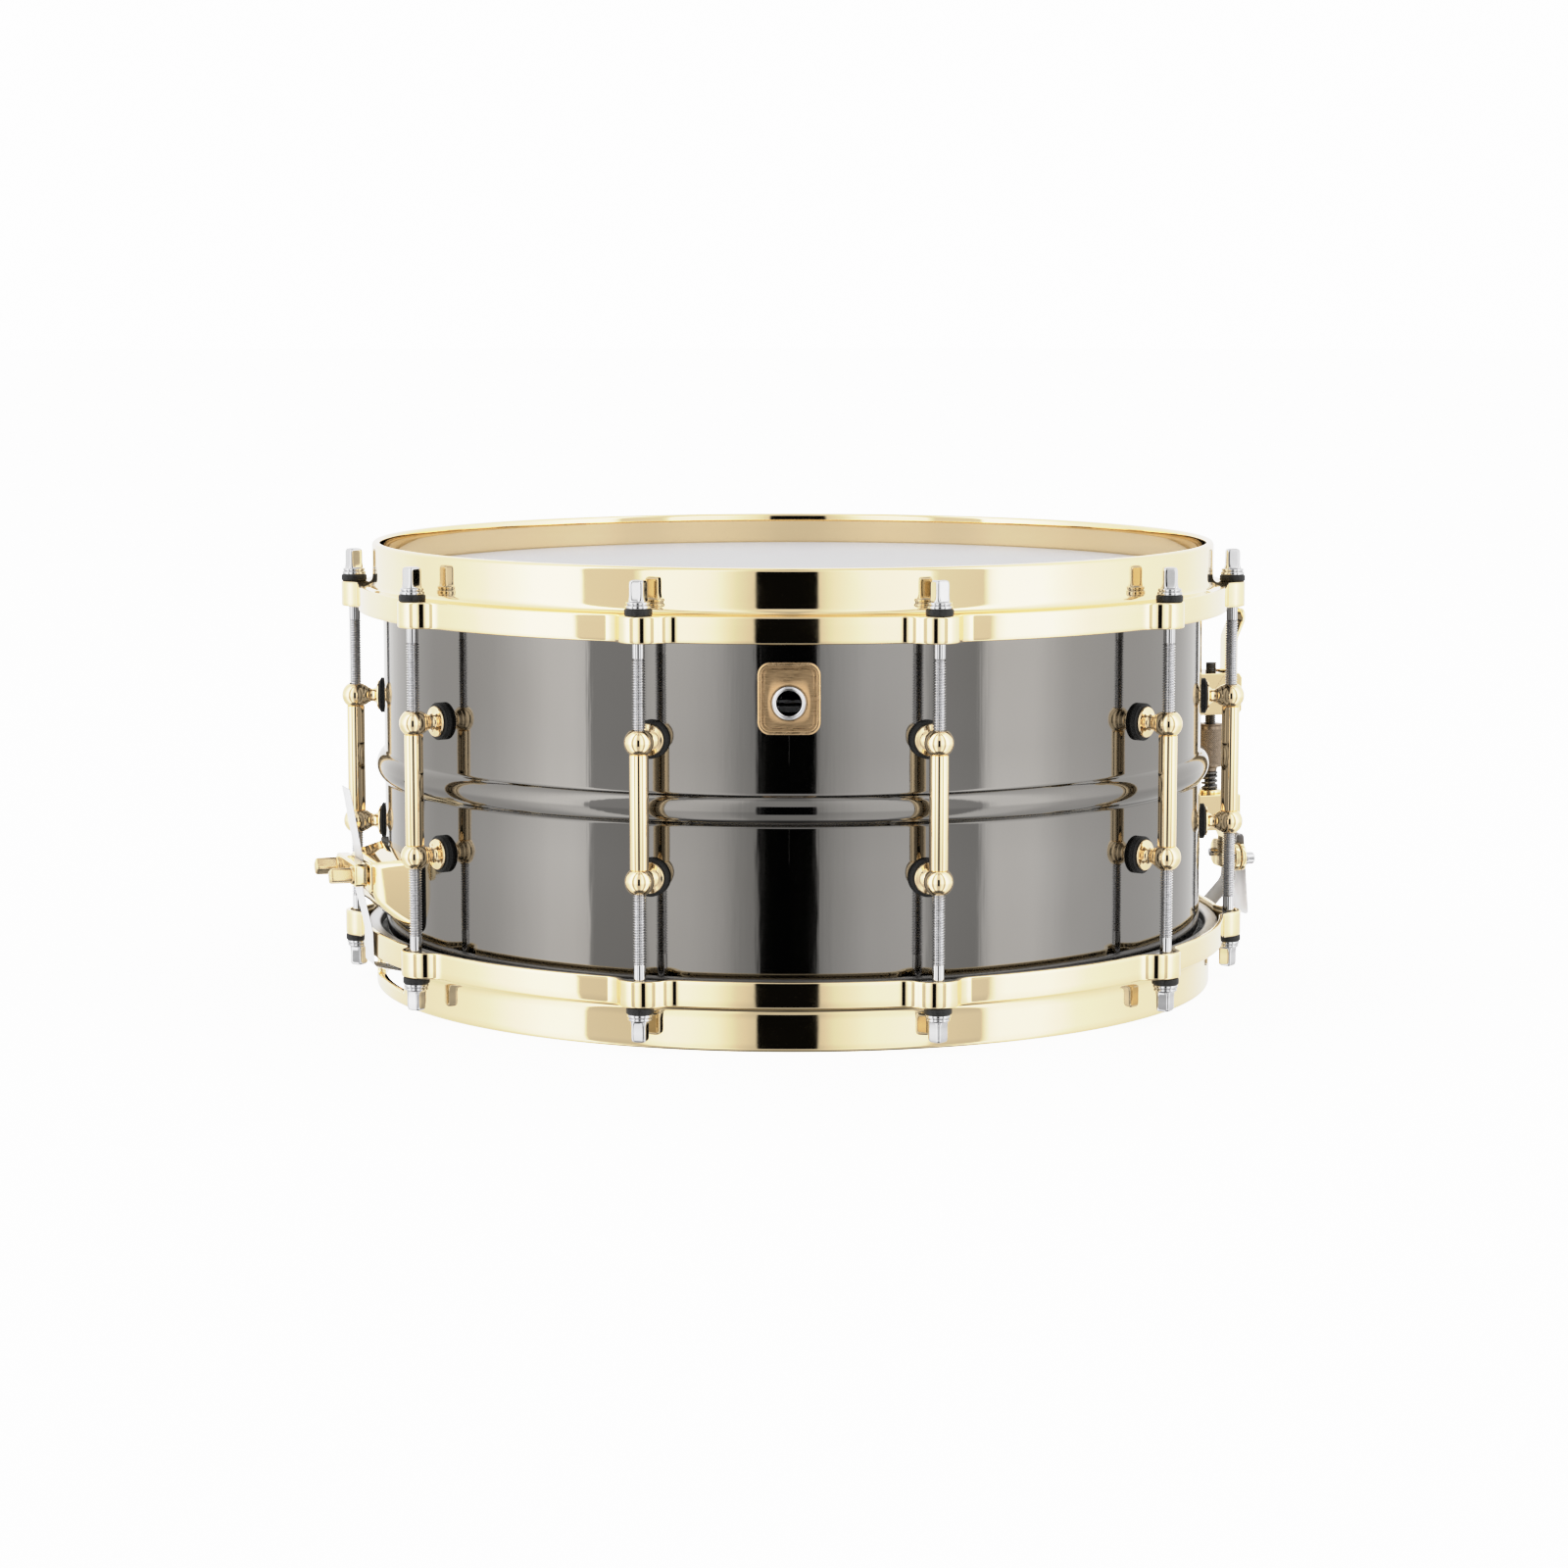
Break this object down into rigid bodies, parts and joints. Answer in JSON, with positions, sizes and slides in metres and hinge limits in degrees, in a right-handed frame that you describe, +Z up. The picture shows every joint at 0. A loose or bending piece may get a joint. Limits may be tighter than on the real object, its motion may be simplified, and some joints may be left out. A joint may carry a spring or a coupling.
{
  "type": "snare drum",
  "caption": "Snare drum: beaded metal shell, tube lugs, cast hoops with tension rods, coated head, throw-off strainer, butt plate and snare wires.",
  "frame": {"origin": "on the drum axis, in the plane of the snare hoop's rim that it stands on", "axes": "+Z up through the batter head; -Y to the front, where the vent and badge are; the strainer is at 108 degrees from the front towards +X"},
  "size_m": [0.4125, 0.376, 0.1921],
  "materials": {
    "black_nickel": "polished black nickel over brass",
    "satin_bronze": "satin",
    "chrome": "polished",
    "coated_film": "sprayed coating over polyester film",
    "clear_film": "clear polyester film",
    "satin_aluminium": "satin",
    "gold_plate": "polished pale gold plate over casting",
    "polished_brass": "polished",
    "black_rubber": "matte",
    "black_nylon": "satin",
    "zinc_steel": "zinc plate",
    "dark_steel": "dark plated steel",
    "bronze_knurl": "knurled, dark bronze plate",
    "snare_steel": "bright coiled wire",
    "white_strap": "satin polyester strap"
  },
  "bodies": {
    "drum": {"badge": "satin_bronze", "batter_flesh_hoop": "satin_aluminium", "batter_head_film": "coated_film", "batter_hoop": "gold_plate", "batter_rod_washers": "black_nylon", "butt_body": "gold_plate", "butt_clamp_plate": "gold_plate", "butt_clamp_screws": "chrome", "butt_gasket": "black_rubber", "butt_screws": "zinc_steel", "butt_strap": "white_strap", "fitting_screw_washers": "zinc_steel", "lever_pin": "zinc_steel", "lug_gaskets": "black_rubber", "lug_posts": "polished_brass", "lug_screw_washers": "zinc_steel", "lug_screws": "zinc_steel", "lug_tubes": "polished_brass", "shell": "black_nickel", "snare_flesh_hoop": "satin_aluminium", "snare_head_film": "clear_film", "snare_hoop": "gold_plate", "snare_rod_washers": "black_nylon", "strainer_body": "gold_plate", "strainer_gasket": "black_rubber", "strainer_screws": "zinc_steel", "vent_grommet": "chrome"},
    "throw_lever": {"throw_lever": "gold_plate"},
    "throw_screw": {"adjust_screw": "dark_steel"},
    "carriage": {"clamp_block": "gold_plate", "adjust_spring": "dark_steel", "spring_washer": "gold_plate", "strainer_clamp_plate": "gold_plate", "strainer_clamp_screws": "chrome"},
    "adjust_knob": {"adjust_knob": "bronze_knurl"},
    "throw_strap": {"strainer_strap": "white_strap"},
    "snares": {"snare_strands": "snare_steel", "snare_end_plates": "polished_brass"},
    "batter_rod_01": {"batter_rod_01": "chrome"},
    "batter_rod_02": {"batter_rod_02": "chrome"},
    "batter_rod_03": {"batter_rod_03": "chrome"},
    "batter_rod_04": {"batter_rod_04": "chrome"},
    "batter_rod_05": {"batter_rod_05": "chrome"},
    "batter_rod_06": {"batter_rod_06": "chrome"},
    "batter_rod_07": {"batter_rod_07": "chrome"},
    "batter_rod_08": {"batter_rod_08": "chrome"},
    "batter_rod_09": {"batter_rod_09": "chrome"},
    "batter_rod_10": {"batter_rod_10": "chrome"},
    "snare_rod_01": {"snare_rod_01": "chrome"},
    "snare_rod_02": {"snare_rod_02": "chrome"},
    "snare_rod_03": {"snare_rod_03": "chrome"},
    "snare_rod_04": {"snare_rod_04": "chrome"},
    "snare_rod_05": {"snare_rod_05": "chrome"},
    "snare_rod_06": {"snare_rod_06": "chrome"},
    "snare_rod_07": {"snare_rod_07": "chrome"},
    "snare_rod_08": {"snare_rod_08": "chrome"},
    "snare_rod_09": {"snare_rod_09": "chrome"},
    "snare_rod_10": {"snare_rod_10": "chrome"}
  },
  "joints": [
    {"name": "lever_throw", "type": "hinge", "parent": "drum", "child": "throw_lever", "pos_m": [0.19459, 0.06322, 0.1185], "axis": [-0.309, 0.9511, 0], "range_deg": [0, 100.5]},
    {"name": "screw_drop", "type": "slide", "parent": "drum", "child": "throw_screw", "axis": [0, 0, -1], "range_m": [0, 0.004]},
    {"name": "carriage_adjust", "type": "slide", "parent": "throw_screw", "child": "carriage", "axis": [0, 0, 1], "range_m": [-0.0012, 0.0012]},
    {"name": "knob_turn", "type": "hinge", "parent": "carriage", "child": "adjust_knob", "pos_m": [0.18764, 0.06097, 0.094], "axis": [0, 0, 1], "range_deg": [-541, 541]},
    {"name": "strap_drop", "type": "slide", "parent": "drum", "child": "throw_strap", "axis": [0, 0, -1], "range_m": [0, 0.0041]},
    {"name": "snare_drop", "type": "hinge", "parent": "drum", "child": "snares", "pos_m": [-0.15692, -0.05099, 0.0125], "axis": [-0.309, 0.9511, 0], "range_deg": [0, 0.71]},
    {"name": "batter_rod_01_turn", "type": "hinge", "parent": "drum", "child": "batter_rod_01", "pos_m": [0.05896, -0.18146, 0.176], "axis": [0, 0, 1], "continuous": true},
    {"name": "batter_rod_02_turn", "type": "hinge", "parent": "drum", "child": "batter_rod_02", "pos_m": [0.15436, -0.11215, 0.176], "axis": [0, 0, 1], "continuous": true},
    {"name": "batter_rod_03_turn", "type": "hinge", "parent": "drum", "child": "batter_rod_03", "pos_m": [0.1908, 0, 0.176], "axis": [0, 0, 1], "continuous": true},
    {"name": "batter_rod_04_turn", "type": "hinge", "parent": "drum", "child": "batter_rod_04", "pos_m": [0.15436, 0.11215, 0.176], "axis": [0, 0, 1], "continuous": true},
    {"name": "batter_rod_05_turn", "type": "hinge", "parent": "drum", "child": "batter_rod_05", "pos_m": [0.05896, 0.18146, 0.176], "axis": [0, 0, 1], "continuous": true},
    {"name": "batter_rod_06_turn", "type": "hinge", "parent": "drum", "child": "batter_rod_06", "pos_m": [-0.05896, 0.18146, 0.176], "axis": [0, 0, 1], "continuous": true},
    {"name": "batter_rod_07_turn", "type": "hinge", "parent": "drum", "child": "batter_rod_07", "pos_m": [-0.15436, 0.11215, 0.176], "axis": [0, 0, 1], "continuous": true},
    {"name": "batter_rod_08_turn", "type": "hinge", "parent": "drum", "child": "batter_rod_08", "pos_m": [-0.1908, 0, 0.176], "axis": [0, 0, 1], "continuous": true},
    {"name": "batter_rod_09_turn", "type": "hinge", "parent": "drum", "child": "batter_rod_09", "pos_m": [-0.15436, -0.11215, 0.176], "axis": [0, 0, 1], "continuous": true},
    {"name": "batter_rod_10_turn", "type": "hinge", "parent": "drum", "child": "batter_rod_10", "pos_m": [-0.05896, -0.18146, 0.176], "axis": [0, 0, 1], "continuous": true},
    {"name": "snare_rod_01_turn", "type": "hinge", "parent": "drum", "child": "snare_rod_01", "pos_m": [0.05896, -0.18146, 0.016], "axis": [0, 0, 1], "continuous": true},
    {"name": "snare_rod_02_turn", "type": "hinge", "parent": "drum", "child": "snare_rod_02", "pos_m": [0.15436, -0.11215, 0.016], "axis": [0, 0, 1], "continuous": true},
    {"name": "snare_rod_03_turn", "type": "hinge", "parent": "drum", "child": "snare_rod_03", "pos_m": [0.1908, 0, 0.016], "axis": [0, 0, 1], "continuous": true},
    {"name": "snare_rod_04_turn", "type": "hinge", "parent": "drum", "child": "snare_rod_04", "pos_m": [0.15436, 0.11215, 0.016], "axis": [0, 0, 1], "continuous": true},
    {"name": "snare_rod_05_turn", "type": "hinge", "parent": "drum", "child": "snare_rod_05", "pos_m": [0.05896, 0.18146, 0.016], "axis": [0, 0, 1], "continuous": true},
    {"name": "snare_rod_06_turn", "type": "hinge", "parent": "drum", "child": "snare_rod_06", "pos_m": [-0.05896, 0.18146, 0.016], "axis": [0, 0, 1], "continuous": true},
    {"name": "snare_rod_07_turn", "type": "hinge", "parent": "drum", "child": "snare_rod_07", "pos_m": [-0.15436, 0.11215, 0.016], "axis": [0, 0, 1], "continuous": true},
    {"name": "snare_rod_08_turn", "type": "hinge", "parent": "drum", "child": "snare_rod_08", "pos_m": [-0.1908, 0, 0.016], "axis": [0, 0, 1], "continuous": true},
    {"name": "snare_rod_09_turn", "type": "hinge", "parent": "drum", "child": "snare_rod_09", "pos_m": [-0.15436, -0.11215, 0.016], "axis": [0, 0, 1], "continuous": true},
    {"name": "snare_rod_10_turn", "type": "hinge", "parent": "drum", "child": "snare_rod_10", "pos_m": [-0.05896, -0.18146, 0.016], "axis": [0, 0, 1], "continuous": true}
  ],
  "couplings": [
    {"joint": "lever_throw", "follows": "screw_drop", "rad_per_m": 436.33},
    {"joint": "strap_drop", "follows": "screw_drop", "ratio": 1},
    {"joint": "snare_drop", "follows": "screw_drop", "rad_per_m": 3.0488},
    {"joint": "knob_turn", "follows": "carriage_adjust", "rad_per_m": 7854}
  ]
}
